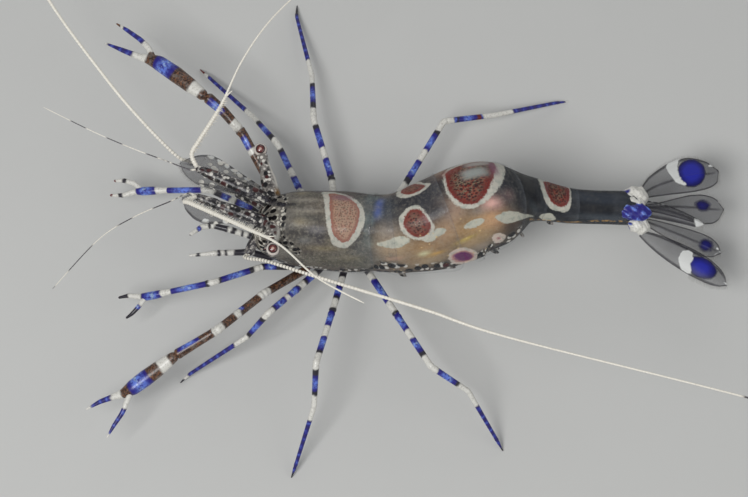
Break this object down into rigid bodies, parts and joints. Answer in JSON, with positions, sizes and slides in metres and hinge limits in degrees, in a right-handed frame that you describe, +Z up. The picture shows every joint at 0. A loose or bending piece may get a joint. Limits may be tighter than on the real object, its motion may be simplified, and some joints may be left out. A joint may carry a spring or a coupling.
{
  "type": "cleaner shrimp",
  "caption": "Spotted cleaner shrimp, a life-size museum model: smoky clear body with white-edged red saddles, blue and white banded legs and long white feelers.",
  "frame": {"origin": "on the floor, under the middle of the bounding box of the whole animal, feelers included", "axes": "+X from the head to the tail, +Y towards the animal's right side, +Z up"},
  "size_m": [0.048, 0.0434, 0.0098],
  "materials": {
    "clear_shell": "wet gloss",
    "eye": "wet gloss",
    "banded_limb": "wet gloss",
    "brown_limb": "wet gloss",
    "feeler": "satin",
    "flesh": "soft",
    "tail_fan": "wet gloss"
  },
  "bodies": {
    "root": {"antenna_flagellum_left": "feeler", "antenna_flagellum_right": "feeler", "antenna_peduncle_left": "clear_shell", "antenna_peduncle_right": "clear_shell", "antenna_scale_left": "clear_shell", "antenna_scale_right": "clear_shell", "antennule_inner_left": "feeler", "antennule_inner_right": "feeler", "antennule_outer_left": "feeler", "antennule_outer_right": "feeler", "antennule_peduncle_left": "clear_shell", "antennule_peduncle_right": "clear_shell", "carapace": "clear_shell", "cheliped_1_arm_left": "banded_limb", "cheliped_1_arm_right": "banded_limb", "cheliped_1_finger_left": "banded_limb", "cheliped_1_finger_right": "banded_limb", "cheliped_1_hand_left": "banded_limb", "cheliped_1_hand_right": "banded_limb", "cheliped_2_arm_left": "brown_limb", "cheliped_2_arm_right": "brown_limb", "cheliped_2_finger_left": "brown_limb", "cheliped_2_finger_right": "brown_limb", "cheliped_2_hand_left": "brown_limb", "cheliped_2_hand_right": "brown_limb", "eye_left": "eye", "eye_right": "eye", "eyestalk_left": "clear_shell", "eyestalk_right": "clear_shell", "maxilliped_3_left": "banded_limb", "maxilliped_3_right": "banded_limb", "pleon_1": "clear_shell", "pleon_2": "clear_shell", "pleon_3": "clear_shell", "pleon_4": "clear_shell", "pleon_5": "clear_shell", "pleon_6": "clear_shell", "pleopod_1_left": "clear_shell", "pleopod_1_right": "clear_shell", "pleopod_2_left": "clear_shell", "pleopod_2_right": "clear_shell", "pleopod_3_left": "clear_shell", "pleopod_3_right": "clear_shell", "pleopod_4_left": "clear_shell", "pleopod_4_right": "clear_shell", "pleopod_5_left": "clear_shell", "pleopod_5_right": "clear_shell", "rostrum": "clear_shell", "telson": "clear_shell", "uropod_endopod_left": "tail_fan", "uropod_endopod_right": "tail_fan", "uropod_exopod_left": "tail_fan", "uropod_exopod_right": "tail_fan", "walking_leg_3_left": "banded_limb", "walking_leg_3_right": "banded_limb", "walking_leg_4_left": "banded_limb", "walking_leg_4_right": "banded_limb", "walking_leg_5_left": "banded_limb", "walking_leg_5_right": "banded_limb"}
  },
  "joints": []
}
